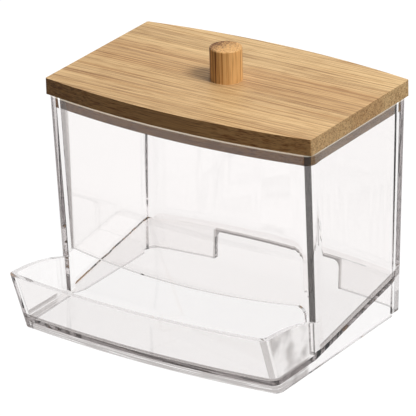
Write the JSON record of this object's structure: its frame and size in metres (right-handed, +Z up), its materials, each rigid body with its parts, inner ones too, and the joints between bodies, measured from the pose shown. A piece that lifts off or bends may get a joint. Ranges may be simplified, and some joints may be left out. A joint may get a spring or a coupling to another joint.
{
  "type": "cotton swab holder",
  "caption": "Clear bin with a sloped floor and an open front tray that feeds out cotton swabs, under a flat wooden lid that lifts off by a round knob.",
  "frame": {"origin": "on the table, at the middle of the box that the whole holder fills", "axes": "+X to the right across the front, +Y from the tray to the back, +Z up"},
  "size_m": [0.11, 0.1005, 0.099],
  "materials": {
    "clear_plastic": "clear, glossy, moulded in one piece",
    "bamboo": "laminated bamboo, fine straight grain, satin",
    "knob_wood": "turned bamboo, satin"
  },
  "bodies": {
    "holder": {"bin": "clear_plastic"},
    "lid": {"lid": "bamboo", "knob": "knob_wood"}
  },
  "joints": [
    {"name": "lid_lift", "type": "slide", "parent": "holder", "child": "lid", "axis": [0, 0, 1], "range_m": [0, 0.06]}
  ]
}
